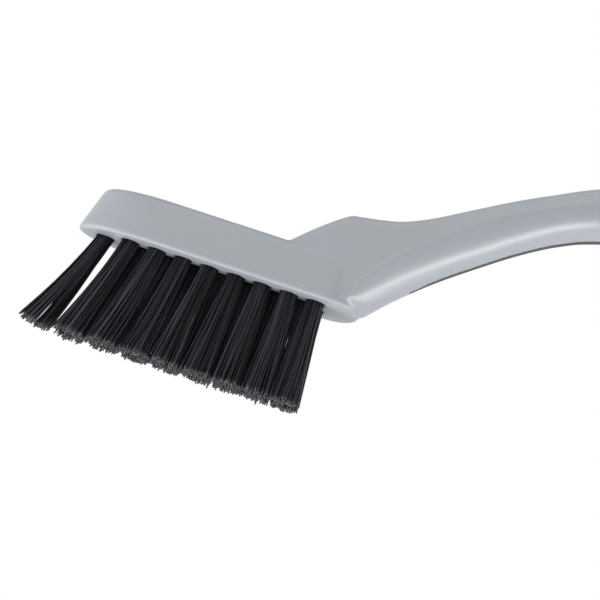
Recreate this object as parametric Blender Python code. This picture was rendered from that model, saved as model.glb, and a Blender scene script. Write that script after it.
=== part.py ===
"""A hand brush for detailing: a tufted oval head and a gooseneck handle in one grey moulding.

Metres, +Z up. +X runs from the head's nose to the handle's end, and Y across the brush.
The origin is in the middle of the head's length, on its flat back. The bristles point down.
"""

import math

import bmesh
import bpy
from mathutils import Matrix, Vector

MM = 0.001

# Head: an oval block with a long tapered nose and a round tail
HEAD_LENGTH = 66.0 * MM
HEAD_WIDTH = 19.0 * MM
HEAD_HEIGHT = 10.9 * MM
NOSE_TAPER = 19.0 * MM
TAIL_ROUND = 8.4 * MM
WALL_DRAFT = 1.5 * MM
NOSE_DRAFT = 3.2 * MM
BACK_EDGE_RADIUS = 1.5 * MM
TUFT_FACE_EDGE_RADIUS = 0.9 * MM

# Planting of the tufts: two outer rows, a staggered middle row and one tuft in the nose
HOLE_DIAMETER = 4.2 * MM
HOLE_DEPTH = 7.0 * MM
WALL_ALONG_ROW = 1.94 * MM
WALL_BETWEEN_ROWS = 0.46 * MM
LAST_TUFT_TO_TAIL = 10.2 * MM
NOSE_TUFT_TO_NOSE = 6.68 * MM

# Bristles: each strand stands for a bundle of them
BRISTLE_LENGTH = 23.8 * MM
STRAND_RINGS = 2
STRAND_FILL = 0.91
ROOT_MARGIN = 0.13 * MM
TIP_FLARE = 0.31 * MM
NOSE_TIP_FLARE = 0.82 * MM
PLUG_PROUD = 0.3 * MM

# Lean of the bristles towards the nose, in degrees, and outwards
NOSE_LEAN = 19.5
TAIL_LEAN = -1.0
LEAN_GROWTH = 1.6
SIDE_LEAN = 0.8

# Flat metal anchors that hold the folded tufts and bite into the holes' walls
ANCHOR_BITE = 0.5 * MM
ANCHOR_HEIGHT = 1.6 * MM
ANCHOR_THICKNESS = 0.45 * MM
FOLD_THICKNESS = 1.0 * MM

# Handle
HANDLE_TOP_CORNER = 1.8 * MM
HANDLE_TOP_CROWN = 0.4 * MM
HANDLE_SIDE_DRAFT = 0.5 * MM
HANDLE_END_ROUND = 9.0 * MM
HANG_HOLE_DIAMETER = 9.0 * MM
HANG_HOLE_TO_END = 12.5 * MM

# Grip strip let into the handle's underside, from behind the head to before the hanging hole
STRIP_DEPTH = 1.8 * MM
STRIP_WIDTH = 9.0 * MM
STRIP_NECK_WIDTH = 1.9 * MM
STRIP_START = 9.0 * MM
STRIP_FLARE_START = 52.0 * MM
STRIP_FLARE_END = 82.0 * MM
STRIP_END_LENGTH = 5.0 * MM
STRIP_TIP_SHARE = 0.35
STRIP_END_FULLNESS = 0.9
STRIP_TO_HANG_HOLE = 9.0 * MM

# Clearance between pieces that touch
CLEARANCE = 0.3 * MM

# Handle stations: how far behind the head's tail and above its tufted face the lower line lies,
# how far behind the tail and above the flat back the upper corner lies, how much narrower than
# the head each side is, and the height of the side ridge as a share of the section.
# The first station is buried in the head.
STATION_UNIT = 1.0 * MM
STATIONS = [
    ((-6.5, 2.0), (-21.5, -1.3), 1.7, 0.04),
    ((-1.5, 1.1), (-14.9, 4.9), 1.2, 0.14),
    ((0.6, 1.2), (-9.3, 9.5), 1.35, 0.30),
    ((2.2, 2.8), (-6.5, 10.4), 1.6, 0.35),
    ((5.4, 6.2), (-2.0, 11.3), 1.9, 0.45),
    ((9.0, 9.7), (3.0, 12.7), 2.2, 0.55),
    ((14.4, 14.5), (9.0, 15.7), 2.6, 0.64),
    ((21.9, 20.4), (16.5, 20.3), 2.9, 0.68),
    ((29.5, 26.0), (24.5, 25.1), 3.0, 0.68),
    ((37.4, 30.8), (32.8, 29.5), 2.9, 0.66),
    ((45.5, 34.1), (41.8, 33.9), 2.7, 0.64),
    ((66.0, 39.7), (63.0, 42.1), 1.4, 0.60),
    ((92.0, 43.9), (91.0, 48.3), -0.3, 0.58),
    ((119.0, 44.7), (120.0, 49.1), -0.4, 0.58),
    ((147.0, 41.9), (149.0, 43.7), 0.3, 0.58),
    ((162.0, 39.4), (164.0, 40.0), 0.7, 0.58),
]

# How finely the shapes are divided
OUTLINE_STEPS = 14
BACK_EDGE_SEGMENTS = 6
TUFT_FACE_EDGE_SEGMENTS = 3
STEPS_PER_STATION = 3
END_STEPS = 6
END_SWEEP = math.radians(84.0)
END_SQUASH = 0.6
LOWER_STEPS = 7
CORNER_STEPS = 3
STRIP_STEPS = 30
HOLE_SIDES = 12
HANG_HOLE_SIDES = 28
STRAND_SIDES = 3
SEARCH_STEPS = 30
SMOOTH_ANGLE = math.radians(30.0)
MERGE_DISTANCE = 0.01 * MM
CUTTER_LENGTH = 60.0 * MM

# Colours
BODY_GREY = (0.39, 0.42, 0.45)
BRISTLE_BLACK = (0.012, 0.012, 0.014)
ANCHOR_STEEL = (0.62, 0.60, 0.56)
GRIP_DARK = (0.06, 0.062, 0.068)

# Worked out from the sizes above
TAIL_X = HEAD_LENGTH / 2
NOSE_X = -HEAD_LENGTH / 2
BACK_Z = 0.0
TUFT_FACE_Z = BACK_Z - HEAD_HEIGHT
HALF_WIDTH = HEAD_WIDTH / 2
LAST_STATION = len(STATIONS) - 1

NOSE_TUFT_X = NOSE_X + NOSE_TUFT_TO_NOSE
LAST_TUFT_X = TAIL_X - LAST_TUFT_TO_TAIL
OUTER_ROW_COUNT = round((LAST_TUFT_X - NOSE_TUFT_X) / (HOLE_DIAMETER + WALL_ALONG_ROW))
TUFT_PITCH = (LAST_TUFT_X - NOSE_TUFT_X) / OUTER_ROW_COUNT
ROW_SPACING = math.sqrt((HOLE_DIAMETER + WALL_BETWEEN_ROWS) ** 2 - (TUFT_PITCH / 2) ** 2)

PLUG_RADIUS = HOLE_DIAMETER / 2 - CLEARANCE
PLUG_TOP = HOLE_DEPTH - CLEARANCE
ROOT_SPACING = (PLUG_RADIUS - ROOT_MARGIN) / (STRAND_RINGS + STRAND_FILL / 2)
STRAND_RADIUS = STRAND_FILL * ROOT_SPACING / 2
ANCHOR_WIDTH = HOLE_DIAMETER + 2 * ANCHOR_BITE
ANCHOR_Z = TUFT_FACE_Z + PLUG_TOP - FOLD_THICKNESS - CLEARANCE - ANCHOR_HEIGHT / 2


def clear_scene():
    """Removes what a new file holds."""
    for item in list(bpy.data.objects):
        bpy.data.objects.remove(item, do_unlink=True)


def make_collection(name):
    """A collection under the scene's own."""
    collection = bpy.data.collections.new(name)
    bpy.context.scene.collection.children.link(collection)
    return collection


def make_material(name, color, roughness, metallic=0.0):
    """A plain material with the part's colour, roughness and metallic value."""
    material = bpy.data.materials.new(name)
    material.use_nodes = True
    shader = material.node_tree.nodes["Principled BSDF"]
    shader.inputs["Base Color"].default_value = (*color, 1.0)
    shader.inputs["Roughness"].default_value = roughness
    shader.inputs["Metallic"].default_value = metallic
    material.diffuse_color = (*color, 1.0)
    return material


def mesh_from(bm, name, material=None):
    """Turns a bmesh into a mesh, smooth except at its sharp edges."""
    bmesh.ops.recalc_face_normals(bm, faces=bm.faces)
    mesh = bpy.data.meshes.new(name)
    bm.to_mesh(mesh)
    bm.free()
    mesh.shade_smooth()
    mesh.set_sharp_from_angle(angle=SMOOTH_ANGLE)
    if material is not None:
        mesh.materials.append(material)
    return mesh


def place(mesh, name, collection, location=(0.0, 0.0, 0.0), parent=None):
    """Puts a mesh into the model as a named object."""
    item = bpy.data.objects.new(name, mesh)
    item.location = location
    item.parent = parent
    collection.objects.link(item)
    return item


def place_cutter(bm, name, collection, location=(0.0, 0.0, 0.0)):
    """Puts a bmesh into the model as a shape that only cuts or joins."""
    item = place(mesh_from(bm, name), name, collection, location)
    item.hide_render = True
    item.display_type = "WIRE"
    return item


def add_boolean(item, other, operation):
    """Cuts an object with another, or joins them."""
    modifier = item.modifiers.new(other.name, "BOOLEAN")
    modifier.operation = operation
    modifier.solver = "EXACT"
    modifier.object = other


def add_cylinder(bm, radius, depth, center, sides):
    """Adds an upright cylinder."""
    made = bmesh.ops.create_cone(bm, cap_ends=True, segments=sides, radius1=radius, radius2=radius,
                                 depth=depth)
    bmesh.ops.translate(bm, verts=made["verts"], vec=center)


def add_box(bm, size, center=(0.0, 0.0, 0.0)):
    """Adds a box."""
    made = bmesh.ops.create_cube(bm, size=1.0)
    bmesh.ops.scale(bm, verts=made["verts"], vec=size)
    bmesh.ops.translate(bm, verts=made["verts"], vec=center)


def loft(bm, rings):
    """Skins a row of like rings and caps both ends."""
    rows = [[bm.verts.new(point) for point in ring] for ring in rings]
    count = len(rows[0])
    for a, b in zip(rows, rows[1:]):
        for i in range(count):
            j = (i + 1) % count
            bm.faces.new((a[i], a[j], b[j], b[i]))
    bm.faces.new(rows[0])
    bm.faces.new(list(reversed(rows[-1])))


def head_outline(inset, nose_inset):
    """Points round the head in plan, with elliptic ends."""
    half = HALF_WIDTH - inset
    nose = NOSE_TAPER - nose_inset
    tail = TAIL_ROUND - inset
    points = []
    for i in range(2 * OUTLINE_STEPS + 1):
        angle = math.pi / 2 + math.pi * i / (2 * OUTLINE_STEPS)
        points.append((NOSE_X + NOSE_TAPER + nose * math.cos(angle), half * math.sin(angle)))
    for i in range(2 * OUTLINE_STEPS + 1):
        angle = -math.pi / 2 + math.pi * i / (2 * OUTLINE_STEPS)
        points.append((TAIL_X - TAIL_ROUND + tail * math.cos(angle), half * math.sin(angle)))
    return points


def round_rim(bm, height, radius, segments):
    """Rounds the edges that lie in the level plane at a height."""
    edges = [e for e in bm.edges if all(abs(v.co.z - height) < MERGE_DISTANCE for v in e.verts)]
    bmesh.ops.bevel(bm, geom=edges, offset=radius, segments=segments, profile=0.5, affect="EDGES")


def build_head(collection, material):
    """The block: its outline drawn up to the back with a little draft, and both rims rounded."""
    bm = bmesh.new()
    rings = []
    for z, outline in ((TUFT_FACE_Z, head_outline(0.0, 0.0)), (BACK_Z, head_outline(WALL_DRAFT, NOSE_DRAFT))):
        rings.append([(x, y, z) for x, y in outline])
    loft(bm, rings)
    bmesh.ops.recalc_face_normals(bm, faces=bm.faces)
    round_rim(bm, BACK_Z, BACK_EDGE_RADIUS, BACK_EDGE_SEGMENTS)
    round_rim(bm, TUFT_FACE_Z, TUFT_FACE_EDGE_RADIUS, TUFT_FACE_EDGE_SEGMENTS)
    bmesh.ops.remove_doubles(bm, verts=bm.verts, dist=MERGE_DISTANCE)
    return place(mesh_from(bm, "brush_body", material), "brush_body", collection)


def smooth_value(values, position):
    """A value at a place between the stations, on a smooth curve through them."""
    last = len(values) - 1
    i = min(int(position), last - 1)
    t = position - i
    before = values[max(i - 1, 0)]
    start = values[i]
    end = values[i + 1]
    after = values[min(i + 2, last)]
    slope_in = (end - before) / 2
    slope_out = (after - start) / 2
    a = 2 * start - 2 * end + slope_in + slope_out
    b = 3 * end - 3 * start - 2 * slope_in - slope_out
    return ((a * t + b) * t + slope_in) * t + start


def station_at(position):
    """The lower point, the upper point, the half width and the ridge share at a place on the handle."""
    rows = [(*lower, *upper, narrower, ridge) for lower, upper, narrower, ridge in STATIONS]
    low_x, low_z, high_x, high_z, narrower, ridge = (smooth_value(column, position) for column in zip(*rows))
    low = Vector((TAIL_X, 0.0, TUFT_FACE_Z)) + Vector((low_x, 0.0, low_z)) * STATION_UNIT
    high = Vector((TAIL_X, 0.0, BACK_Z)) + Vector((high_x, 0.0, high_z)) * STATION_UNIT
    return low, high, HALF_WIDTH - narrower * STATION_UNIT, ridge


def half_section(half, ridge, height):
    """Half of a section, from the middle of the underside up to the middle of the top.

    Each point is the distance from the middle plane and the height above the lower line.
    """
    points = []
    for i in range(LOWER_STEPS + 1):
        angle = math.pi / 2 * i / LOWER_STEPS
        points.append((half * math.sin(angle), ridge * height * (1 - math.cos(angle))))
    edge = half - HANDLE_SIDE_DRAFT - HANDLE_TOP_CORNER
    for i in range(CORNER_STEPS + 1):
        angle = math.pi / 2 * i / CORNER_STEPS
        drop = HANDLE_TOP_CORNER * (1 - math.sin(angle))
        points.append((edge + HANDLE_TOP_CORNER * math.cos(angle), height - drop))
    for share in (0.5, 0.0):
        points.append((share * edge, height + HANDLE_TOP_CROWN * (1 - share * share)))
    return points


def ring_points(low, high, half, ridge, share=1.0):
    """A whole section in space. A share under 1 draws it in towards its own middle."""
    up = (high - low).normalized()
    middle = (low + high) / 2
    right = half_section(half, ridge, (high - low).length)
    points = []
    for y, h in right + [(-y, h) for y, h in reversed(right[1:-1])]:
        point = middle + (low + up * h - middle) * share ** END_SQUASH
        point.y = y * share
        points.append(point)
    return points


def middle_at(position):
    """The middle of the section at a place on the handle."""
    low, high, _, _ = station_at(position)
    return (low + high) / 2


def end_direction():
    """The way the handle points at its last station."""
    return (middle_at(LAST_STATION) - middle_at(LAST_STATION - 1 / STEPS_PER_STATION)).normalized()


def handle_end():
    """The tip of the handle, on its middle line."""
    return middle_at(LAST_STATION) + end_direction() * HANDLE_END_ROUND


def build_handle(collection):
    """The handle as one loft, its first section inside the head and its end rounded off."""
    count = LAST_STATION * STEPS_PER_STATION
    rings = [ring_points(*station_at(LAST_STATION * i / count)) for i in range(count + 1)]
    low, high, half, ridge = station_at(LAST_STATION)
    for i in range(1, END_STEPS + 1):
        angle = END_SWEEP * i / END_STEPS
        shift = end_direction() * HANDLE_END_ROUND * math.sin(angle)
        rings.append(ring_points(low + shift, high + shift, half, ridge, share=math.cos(angle)))
    bm = bmesh.new()
    loft(bm, rings)
    return place_cutter(bm, "handle_loft", collection)


def hang_hole_x():
    """Where the middle of the hanging hole lies."""
    return handle_end().x - HANG_HOLE_TO_END


def build_hang_hole(collection):
    """The hole through the handle's end."""
    bm = bmesh.new()
    center = (hang_hole_x(), 0.0, handle_end().z)
    add_cylinder(bm, HANG_HOLE_DIAMETER / 2, CUTTER_LENGTH, center, HANG_HOLE_SIDES)
    return place_cutter(bm, "hang_hole", collection)


def tuft_places():
    """Name, pitches ahead of the last tuft and side of every tuft: -1 near, 0 middle, 1 far."""
    places = [("tuft_nose", OUTER_ROW_COUNT, 0)]
    for row, side in (("near", -1), ("far", 1)):
        for i in range(1, OUTER_ROW_COUNT + 1):
            places.append((f"tuft_{row}_{i}", OUTER_ROW_COUNT - i, side))
    for i in range(1, OUTER_ROW_COUNT):
        places.append((f"tuft_middle_{i}", OUTER_ROW_COUNT - i - 0.5, 0))
    return places


def spot_at(pitches, side, z):
    """Where a tuft's axis meets the height z."""
    return Vector((LAST_TUFT_X - pitches * TUFT_PITCH, side * ROW_SPACING, z))


def lean_at(pitches):
    """How far, in degrees, bristles lean towards the nose at a number of pitches from the last tuft."""
    return TAIL_LEAN + (NOSE_LEAN - TAIL_LEAN) * (pitches / OUTER_ROW_COUNT) ** LEAN_GROWTH


def strand_spots():
    """Unit places of the strands in a tuft: a middle one and hexagonal rings round it."""
    spots = [Vector((0.0, 0.0, 0.0))]
    for ring in range(1, STRAND_RINGS + 1):
        corners = [Matrix.Rotation(math.pi * k / 3, 3, "Z") @ Vector((ring, 0.0, 0.0)) for k in range(6)]
        for k in range(6):
            for step in range(ring):
                spots.append(corners[k].lerp(corners[(k + 1) % 6], step / ring))
    return spots


def build_strands(name, pitches, side, collection):
    """The free bristles of a tuft: thin strands that fan out and end in one flat plane."""
    bm = bmesh.new()
    lean_x = -BRISTLE_LENGTH * math.tan(math.radians(lean_at(pitches)))
    lean_y = BRISTLE_LENGTH * math.tan(math.radians(SIDE_LEAN)) * side
    flare = NOSE_TIP_FLARE if pitches == OUTER_ROW_COUNT else TIP_FLARE
    for spot in strand_spots():
        root = spot * ROOT_SPACING
        tip = spot * (ROOT_SPACING + flare) + Vector((lean_x, lean_y, -BRISTLE_LENGTH))
        start = root + (root - tip).normalized() * CLEARANCE
        rings = []
        for end in (start, tip):
            ring = []
            for k in range(STRAND_SIDES):
                angle = 2 * math.pi * k / STRAND_SIDES
                ring.append(end + Vector((math.cos(angle), math.sin(angle), 0.0)) * STRAND_RADIUS)
            rings.append(ring)
        loft(bm, rings)
    return place_cutter(bm, name + "_strands", collection, spot_at(pitches, side, TUFT_FACE_Z))


def build_tuft(name, pitches, side, parts, cutters, material, body):
    """A tuft: the plug of its folded roots in the hole, with the strands fused to it."""
    bm = bmesh.new()
    add_cylinder(bm, PLUG_RADIUS, PLUG_TOP + PLUG_PROUD, (0.0, 0.0, (PLUG_TOP - PLUG_PROUD) / 2), HOLE_SIDES)
    tuft = place(mesh_from(bm, name, material), name, parts, spot_at(pitches, side, TUFT_FACE_Z), body)
    add_boolean(tuft, build_strands(name, pitches, side, cutters), "UNION")
    return tuft


def build_tuft_holes(places, collection):
    """The blind holes for all tufts."""
    bm = bmesh.new()
    for _, pitches, side in places:
        add_cylinder(bm, HOLE_DIAMETER / 2, 2 * HOLE_DEPTH, spot_at(pitches, side, TUFT_FACE_Z), HOLE_SIDES)
    return place_cutter(bm, "tuft_holes", collection)


def build_anchor_slots(places, collection):
    """The slots that the anchors lie in, through the tufts' folds and into the walls."""
    bm = bmesh.new()
    size = [length + 2 * CLEARANCE for length in (ANCHOR_THICKNESS, ANCHOR_WIDTH, ANCHOR_HEIGHT)]
    for _, pitches, side in places:
        add_box(bm, size, spot_at(pitches, side, ANCHOR_Z))
    return place_cutter(bm, "anchor_slots", collection)


def position_at(x):
    """The place on the handle whose lower line is x along."""
    before = 0.0
    after = LAST_STATION
    for _ in range(SEARCH_STEPS):
        middle = (before + after) / 2
        if station_at(middle)[0].x < x:
            before = middle
        else:
            after = middle
    return before


def strip_half_width(x, start_x, stop_x):
    """Half the strip's width: a fine tip, a narrow neck, a flare into the grip and a round end."""
    flare = (x - TAIL_X - STRIP_FLARE_START) / (STRIP_FLARE_END - STRIP_FLARE_START)
    flare = min(max(flare, 0.0), 1.0)
    flare = flare * flare * (3 - 2 * flare)
    width = STRIP_NECK_WIDTH + (STRIP_WIDTH - STRIP_NECK_WIDTH) * flare
    opening = min(STRIP_TIP_SHARE + (1 - STRIP_TIP_SHARE) * (x - start_x) / STRIP_END_LENGTH, 1.0)
    closing = 1 - min((stop_x - x) / STRIP_END_LENGTH, 1.0)
    return width * opening * math.sqrt(1 - STRIP_END_FULLNESS * closing * closing) / 2


def strip_rings(extra, below):
    """Sections of the grip strip, or of its recess, which is wider and deeper by the clearance."""
    start_x = TAIL_X + STRIP_START
    stop_x = hang_hole_x() - HANG_HOLE_DIAMETER / 2 - STRIP_TO_HANG_HOLE
    rings = []
    for i in range(STRIP_STEPS + 1):
        share = i / STRIP_STEPS
        x = start_x + (stop_x - start_x) * share
        low, high, half, ridge = station_at(position_at(x + extra * (2 * share - 1)))
        up = (high - low).normalized()
        width = strip_half_width(x, start_x, stop_x) + extra
        row = []
        for k in range(-2, 3):
            y = width * k / 2
            rise = ridge * (high - low).length * (1 - math.sqrt(1 - (y / half) ** 2))
            row.append(low + up * (rise - below) + Vector((0.0, y, 0.0)))
        for side in (1, -1):
            row.append(low + up * (STRIP_DEPTH + extra) + Vector((0.0, side * width, 0.0)))
        rings.append(row)
    return rings


def build_strip_recess(collection):
    """The recess for the grip strip, open downwards."""
    bm = bmesh.new()
    loft(bm, strip_rings(CLEARANCE, 2 * STRIP_DEPTH))
    return place_cutter(bm, "strip_recess", collection)


def build_strip(collection, material, body):
    """The grip strip, flush with the handle's underside."""
    bm = bmesh.new()
    loft(bm, strip_rings(0.0, 0.0))
    return place(mesh_from(bm, "grip_strip", material), "grip_strip", collection, parent=body)


def main():
    clear_scene()
    parts = make_collection("detailing_brush")
    cutters = make_collection("cutters")
    body_grey = make_material("body_grey", BODY_GREY, 0.42)
    bristle_black = make_material("bristle_black", BRISTLE_BLACK, 0.45)
    anchor_steel = make_material("anchor_steel", ANCHOR_STEEL, 0.3, 1.0)
    grip_dark = make_material("grip_dark", GRIP_DARK, 0.7)

    places = tuft_places()
    slots = build_anchor_slots(places, cutters)
    body = build_head(parts, body_grey)
    add_boolean(body, build_handle(cutters), "UNION")
    add_boolean(body, build_tuft_holes(places, cutters), "DIFFERENCE")
    add_boolean(body, slots, "DIFFERENCE")
    add_boolean(body, build_hang_hole(cutters), "DIFFERENCE")
    add_boolean(body, build_strip_recess(cutters), "DIFFERENCE")
    build_strip(parts, grip_dark, body)

    bm = bmesh.new()
    add_box(bm, (ANCHOR_THICKNESS, ANCHOR_WIDTH, ANCHOR_HEIGHT))
    anchor = mesh_from(bm, "anchor", anchor_steel)
    for name, pitches, side in places:
        tuft = build_tuft(name, pitches, side, parts, cutters, bristle_black, body)
        add_boolean(tuft, slots, "DIFFERENCE")
        place(anchor, name.replace("tuft", "anchor"), parts, spot_at(pitches, side, ANCHOR_Z), body)


main()
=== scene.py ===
import math

import bmesh
import bpy
import numpy as np
from bpy.props import FloatProperty, FloatVectorProperty, IntProperty, PointerProperty
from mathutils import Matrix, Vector
from mathutils.bvhtree import BVHTree
from mathutils.kdtree import KDTree


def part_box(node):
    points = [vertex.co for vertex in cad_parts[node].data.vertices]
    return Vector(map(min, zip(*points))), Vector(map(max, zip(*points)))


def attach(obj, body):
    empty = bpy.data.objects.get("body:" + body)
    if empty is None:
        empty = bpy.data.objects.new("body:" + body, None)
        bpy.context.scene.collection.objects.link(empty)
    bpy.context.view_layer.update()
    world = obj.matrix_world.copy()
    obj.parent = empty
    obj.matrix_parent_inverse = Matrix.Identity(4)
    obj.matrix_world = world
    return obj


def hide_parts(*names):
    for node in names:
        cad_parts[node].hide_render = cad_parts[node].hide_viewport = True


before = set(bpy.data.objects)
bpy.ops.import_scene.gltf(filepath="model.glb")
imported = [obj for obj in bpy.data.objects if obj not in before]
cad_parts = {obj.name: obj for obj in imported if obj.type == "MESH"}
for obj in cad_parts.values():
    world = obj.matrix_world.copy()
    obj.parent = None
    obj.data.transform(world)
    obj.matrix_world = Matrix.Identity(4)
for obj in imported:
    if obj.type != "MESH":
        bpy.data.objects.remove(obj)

bl_info = {
    "name": "Detailing Brush",
    "version": (1, 0, 0),
    "blender": (4, 5, 0),
    "location": "3D View > Sidebar > Brush",
    "description": "Dresses the packed detailing brush: moulding, grip strip, bristles, anchors and stage",
    "category": "Add Mesh",
}

MM = 0.001
BODY = "root"

# Handle stations in millimetres, as in the solids: how far behind the head's tail and above its tufted
# face the lower line lies, how far behind the tail and above the flat back the upper corner lies, how
# much narrower than the head each side is, and the height of the side ridge as a share of the section.
HANDLE_STATIONS = [
    ((-6.5, 2.0), (-21.5, -1.3), 1.7, 0.04),
    ((-1.5, 1.1), (-14.9, 4.9), 1.2, 0.14),
    ((0.6, 1.2), (-9.3, 9.5), 1.35, 0.30),
    ((2.2, 2.8), (-6.5, 10.4), 1.6, 0.35),
    ((5.4, 6.2), (-2.0, 11.3), 1.9, 0.45),
    ((9.0, 9.7), (3.0, 12.7), 2.2, 0.55),
    ((14.4, 14.5), (9.0, 15.7), 2.6, 0.64),
    ((21.9, 20.4), (16.5, 20.3), 2.9, 0.68),
    ((29.5, 26.0), (24.5, 25.1), 3.0, 0.68),
    ((37.4, 30.8), (32.8, 29.5), 2.9, 0.66),
    ((45.5, 34.1), (41.8, 33.9), 2.7, 0.64),
    ((66.0, 39.7), (63.0, 42.1), 1.4, 0.60),
    ((92.0, 43.9), (91.0, 48.3), -0.3, 0.58),
    ((119.0, 44.7), (120.0, 49.1), -0.4, 0.58),
    ((147.0, 41.9), (149.0, 43.7), 0.3, 0.58),
    ((162.0, 39.4), (164.0, 40.0), 0.7, 0.58),
]
LAST_STATION = len(HANDLE_STATIONS) - 1

# Height of the head's tufted face
FACE_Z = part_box("brush_body")[0].z

# How finely the shapes are divided
STEPS_PER_STATION = 10
OUTLINE_STEPS = 40
LOWER_STEPS = 22
CORNER_STEPS = 8
CROWN_STEPS = 8
END_STEPS = 16
BACK_RIM_STEPS = 14
FACE_RIM_STEPS = 4
STRIP_STEPS = 220
STRIP_COLUMNS = 8
HOLE_SIDES = 40
LINE_STEPS = 240
FLOOR_SIDES = 64
# How often the search for a place on the handle halves its span
HALVINGS = 24

# How far round the handle's end goes, and the power that shrinks its height less than its width
END_SWEEP = math.radians(88.0)
END_SQUASH = 0.6
# Length of the cutter for the hanging hole, which has to pass right through the handle
HANG_HOLE_CUT = 60 * MM
# Points closer together than this count as one
SAME_POINT = 0.01 * MM
# How far above a tuft's lowest point its cut ends are looked for
TIP_SLICE = 0.1 * MM
# The station where the painted highlight line along the neck's side starts, and how far smoothing may have
# drawn the surface off it
LINE_START = 1.0
LINE_SLACK = 0.15 * MM

# Chance in the tufts, as shares of a tuft's radius: how far the even spots are moved, and how far out
# the locks' middles lie and how far they are moved
SPOT_SCATTER = 0.25
LOCK_RING = 0.62
LOCK_SCATTER = 0.12
# Chance in the filaments: the least that a proud one stands out as a share of the most, thickness
# against the usual, the steepest slant of a cut against half the thickness, and how pale the tip is,
# partly wear and partly painted light from below
PROUD_LEAST = 0.4
THICKNESS_SPREAD = (0.88, 1.1)
STEEPEST_CUT = 0.9
PALE_TIP_SPREAD = (0.2, 1.0)
# The share of a filament's lean that comes late, so that it bends outwards, and the way it may bow
LATE_LEAN = 0.2
SIDEWAYS = (1.0, 1.0, 0.0)

# Where most values of a noise texture lie
NOISE_SPAN = (0.3, 0.7)
# How rare the lighter filaments are, partly random tone and partly painted highlight on filaments
# that catch the light, what the grain adds to a filament's shade and to its cut end's, and how strongly
# the pale tips show, partly scuffing and partly painted light from below
LIGHT_RARITY = 3.0
SHADE_GRAIN = 0.15
CUT_END_GRAIN = 0.2
PALE_TIP_STRENGTH = 0.45
# The colour sockets of a Mix node, which share their names with its number sockets
MIX_FIRST, MIX_SECOND, MIX_RESULT = 6, 7, 2

# How far above the floor the flat lamps lie, where the others aim, and the turns of the flat ones
LAMP_LIFT = 0.02
LAMP_TARGET = Vector((0.05, 0.0, 0.0))
FACING_UP = (math.pi, 0.0, 0.0)
ALONG_HANDLE = (math.pi, 0.0, math.radians(12.0))


def length(name, description, default):
    """A size that the sidebar shows in the scene's units."""
    return FloatProperty(name=name, description=description, default=default, unit="LENGTH", precision=5)


def color(name, description, default):
    """A linear colour that the sidebar shows as a swatch."""
    return FloatVectorProperty(name=name, description=description, default=default, subtype="COLOR",
                               min=0.0, max=1.0)


def share(name, description, default):
    """A part of a whole, from 0 to 1."""
    return FloatProperty(name=name, description=description, default=default, subtype="FACTOR",
                         min=0.0, max=1.0)


def watts(name, description, default):
    """A lamp's power."""
    return FloatProperty(name=name, description=description, default=default, unit="POWER")


class MouldingSettings(bpy.types.PropertyGroup):
    """The grey moulding: head and handle in one."""

    head_length: length("Head length", "Length of the tufted face", 66.0 * MM)
    head_width: length("Head width", "Width of the tufted face", 19.0 * MM)
    nose_taper: length("Nose taper", "Length of the tapered nose", 19.0 * MM)
    tail_round: length("Tail round", "Length of the rounded tail", 8.4 * MM)
    wall_draft: length("Wall draft", "How far the head's wall leans in at its back", 1.5 * MM)
    nose_draft: length("Nose draft", "How far the nose leans in at its back", 3.2 * MM)
    back_radius: length("Back radius", "Radius along the edge of the head's back", 1.5 * MM)
    face_radius: length("Face radius", "Radius along the edge of the tufted face", 0.9 * MM)
    top_corner: length("Top corner", "Radius along the handle's upper corners", 1.8 * MM)
    top_crown: length("Top crown", "Rise of the handle's top between its corners", 0.4 * MM)
    side_draft: length("Side draft", "How far the handle's sides lean in at the top", 0.5 * MM)
    end_round: length("End round", "Length of the handle's rounded end", 9.0 * MM)
    hang_hole: length("Hanging hole", "Diameter of the hole in the handle's end", 9.0 * MM)
    hang_hole_to_end: length("Hole to end", "From the hole's middle to the handle's tip", 12.5 * MM)
    hole_diameter: length("Tuft hole", "Diameter of a tuft hole", 4.2 * MM)
    hole_depth: length("Tuft hole depth", "Depth of a tuft hole", 7.0 * MM)
    surface_step: length("Surface step", "Size of the faces on the finished surface", 0.32 * MM)
    edge_passes: IntProperty(name="Edge passes", description="Smoothing passes over all edges", default=7)
    crease_passes: IntProperty(name="Crease passes", default=120,
                               description="Smoothing passes where handle and head meet")
    crease_reach: length("Crease reach", "How wide the softened crease is", 2.8 * MM)
    crease_stop: length("Crease stop", "How far above the tufted face the softening fades out", 3.0 * MM)
    crease_top: share("Crease at the top", "How soft the crease is at the head's back", 0.05)
    grey: color("Grey", "Colour of the moulding", (0.375, 0.405, 0.436))
    # The worn grey colours both the rubbed edges and a painted highlight: a pale line along the neck's side
    # ridge, set by the three line settings below
    pale: color("Worn grey", "Colour where edges are rubbed", (0.47, 0.495, 0.52))
    edge_wear: share("Edge wear", "How strongly rubbed edges show", 0.35)
    line_highlight: share("Line wear", "How strongly the line along the neck's side shows", 0.8)
    line_width: length("Line width", "Half the width of the rubbed line along the neck's side", 0.2 * MM)
    line_stop: length("Line stop", "From the head's tail to where that line has faded", 26.0 * MM)
    roughness: share("Roughness", "Roughness of the moulding", 0.33)


class StripSettings(bpy.types.PropertyGroup):
    """The dark grip strip let into the handle's underside."""

    start: length("Start", "From the head's tail to the strip's tip", 9.0 * MM)
    stop: length("Stop", "From the strip's round end to the hanging hole", 9.0 * MM)
    width: length("Width", "Width along the grip", 9.0 * MM)
    neck_width: length("Neck width", "Width along the neck", 1.9 * MM)
    flare_start: length("Flare start", "From the head's tail to where the strip widens", 52.0 * MM)
    flare_end: length("Flare end", "From the head's tail to where the strip is full", 82.0 * MM)
    end_length: length("End length", "Length of each of its tapered ends", 5.0 * MM)
    depth: length("Depth", "How deep the strip is let in", 1.8 * MM)
    lip: length("Lip", "How far its edge closes on the moulding", 0.2 * MM)
    tip_share: share("Tip share", "Width of its tip against its neck", 0.35)
    end_fullness: share("End fullness", "How round its end is", 0.9)
    rubber: color("Rubber", "Colour of the strip", (0.06, 0.062, 0.068))
    roughness: share("Roughness", "Roughness of the strip", 0.62)


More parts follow.
